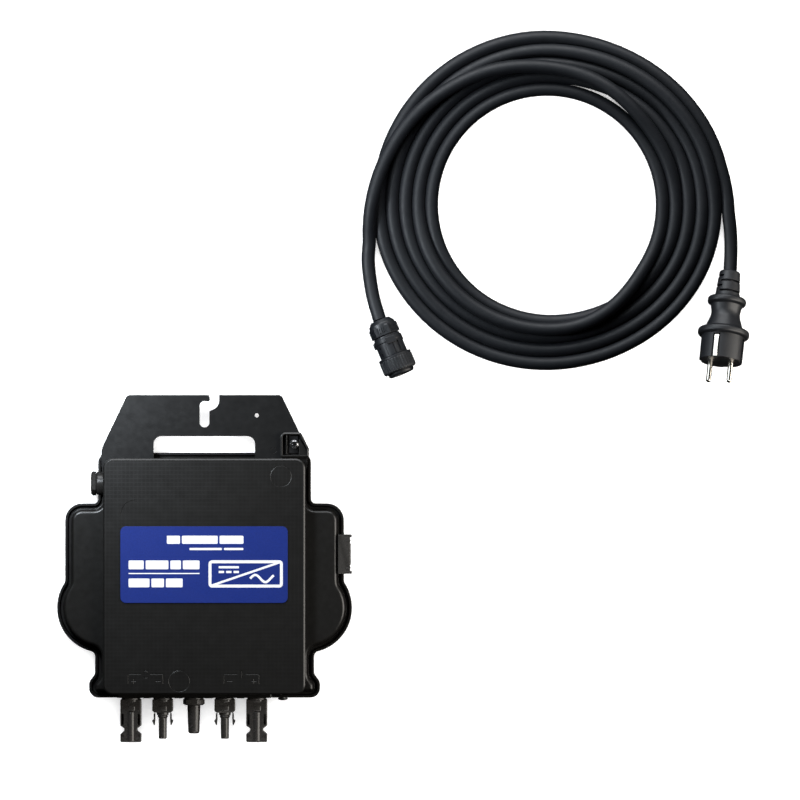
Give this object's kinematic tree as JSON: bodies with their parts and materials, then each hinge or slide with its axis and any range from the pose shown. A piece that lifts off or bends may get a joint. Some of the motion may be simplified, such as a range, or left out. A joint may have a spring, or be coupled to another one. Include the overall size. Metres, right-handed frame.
{
  "type": "micro inverter",
  "caption": "Flat solar micro inverter with hanging bracket, panel connectors and label plate, lying on its back beside its coiled mains lead.",
  "frame": {"origin": "middle of the inverter's footprint, on the surface that its back plate lies on", "axes": "+X to the inverter's right seen from the front, +Y towards the hanging bracket, +Z out of the front cover"},
  "size_m": [0.6161, 0.634, 0.0494],
  "materials": {
    "case_paint": "fine satin black powder coat on die-cast alloy",
    "back_alloy": "black anodised, satin",
    "bracket_paint": "satin black coat on pressed steel",
    "label_film": "blue printed film, satin",
    "connector_plastic": "black moulded plastic, satin",
    "lead_rubber": "matt blue-grey black rubber sheath",
    "zinc_steel": "zinc plated",
    "nickel_brass": "bright nickel plate on brass",
    "tinned_copper": "tin plated contact",
    "board_resin": "green solder mask",
    "ferrite_core": "dark matt ferrite",
    "component_sleeve": "dark blue sleeve",
    "seal_rubber": "matt black rubber",
    "clear_lens": "smoked clear lens"
  },
  "bodies": {
    "inverter": {"ac_pin_1": "nickel_brass", "ac_pin_2": "nickel_brass", "ac_pin_3": "nickel_brass", "ac_port_housing": "connector_plastic", "ac_port_insert": "connector_plastic", "antenna_mast": "connector_plastic", "antenna_nut": "connector_plastic", "back_plate": "back_alloy", "back_screw_1": "zinc_steel", "back_screw_2": "zinc_steel", "back_screw_3": "zinc_steel", "back_screw_4": "zinc_steel", "back_tray": "case_paint", "capacitor_1": "component_sleeve", "capacitor_2": "component_sleeve", "connector_panel": "connector_plastic", "dc_nose_1": "connector_plastic", "dc_nose_2": "connector_plastic", "dc_pin_1": "tinned_copper", "dc_pin_2": "tinned_copper", "dc_shroud_1": "connector_plastic", "dc_shroud_2": "connector_plastic", "dc_sleeve_1": "tinned_copper", "dc_sleeve_2": "tinned_copper", "filter_choke": "ferrite_core", "front_cover": "case_paint", "front_shell": "case_paint", "grid_relay": "component_sleeve", "ground_bezel": "case_paint", "ground_plate": "zinc_steel", "housing_gasket": "seal_rubber", "label_plate": "label_film", "main_board": "board_resin", "mounting_bracket": "bracket_paint", "output_terminal": "board_resin", "radio_module": "zinc_steel", "status_led_lens": "clear_lens", "thermal_pad": "seal_rubber", "transformer_1": "ferrite_core", "transformer_2": "ferrite_core", "vent_plug": "connector_plastic", "vent_seal": "seal_rubber"},
    "latch_1a": {"latch_1a": "connector_plastic"},
    "latch_1b": {"latch_1b": "connector_plastic"},
    "latch_2a": {"latch_2a": "connector_plastic"},
    "latch_2b": {"latch_2b": "connector_plastic"},
    "ground_screw": {"ground_screw": "zinc_steel"},
    "coupling_ring": {"coupler_ring": "connector_plastic"},
    "gland_nut": {"coupler_gland_nut": "connector_plastic"},
    "ac_lead": {"lead_coil": "lead_rubber", "lead_to_coupler": "lead_rubber", "lead_to_plug": "lead_rubber", "coupler_body": "connector_plastic", "coupler_insert": "connector_plastic", "plug_body": "lead_rubber", "plug_strain_relief": "lead_rubber", "plug_pin_1": "nickel_brass", "plug_pin_2": "nickel_brass", "plug_earth_clip_1": "nickel_brass", "plug_earth_clip_2": "nickel_brass"}
  },
  "joints": [
    {"name": "latch_1a_flex", "type": "hinge", "parent": "inverter", "child": "latch_1a", "pos_m": [-0.0447, -0.1286, 0.0169], "axis": [0, 0, 1], "range_deg": [0, 10], "stiffness_Nm_per_rad": 0.3},
    {"name": "latch_1b_flex", "type": "hinge", "parent": "inverter", "child": "latch_1b", "pos_m": [-0.0297, -0.1286, 0.0169], "axis": [0, 0, -1], "range_deg": [0, 10], "stiffness_Nm_per_rad": 0.3},
    {"name": "latch_2a_flex", "type": "hinge", "parent": "inverter", "child": "latch_2a", "pos_m": [0.0106, -0.1286, 0.0169], "axis": [0, 0, 1], "range_deg": [0, 10], "stiffness_Nm_per_rad": 0.3},
    {"name": "latch_2b_flex", "type": "hinge", "parent": "inverter", "child": "latch_2b", "pos_m": [0.0256, -0.1286, 0.0169], "axis": [0, 0, -1], "range_deg": [0, 10], "stiffness_Nm_per_rad": 0.3},
    {"name": "ground_screw_turn", "type": "hinge", "parent": "inverter", "child": "ground_screw", "pos_m": [0.08, 0.1107, 0.03], "axis": [0, 0, 1], "continuous": true},
    {"name": "lead_lift", "type": "slide", "parent": "inverter", "child": "ac_lead", "axis": [0, 0, 1], "range_m": [0, 0.1]},
    {"name": "coupling_ring_turn", "type": "hinge", "parent": "ac_lead", "child": "coupling_ring", "pos_m": [0.17165, 0.18321, 0.01596], "axis": [0.3818, -0.9216, 0.0698], "range_deg": [0, 60]},
    {"name": "gland_nut_turn", "type": "hinge", "parent": "ac_lead", "child": "gland_nut", "pos_m": [0.15905, 0.21363, 0.01366], "axis": [0.3818, -0.9216, 0.0698], "continuous": true}
  ]
}
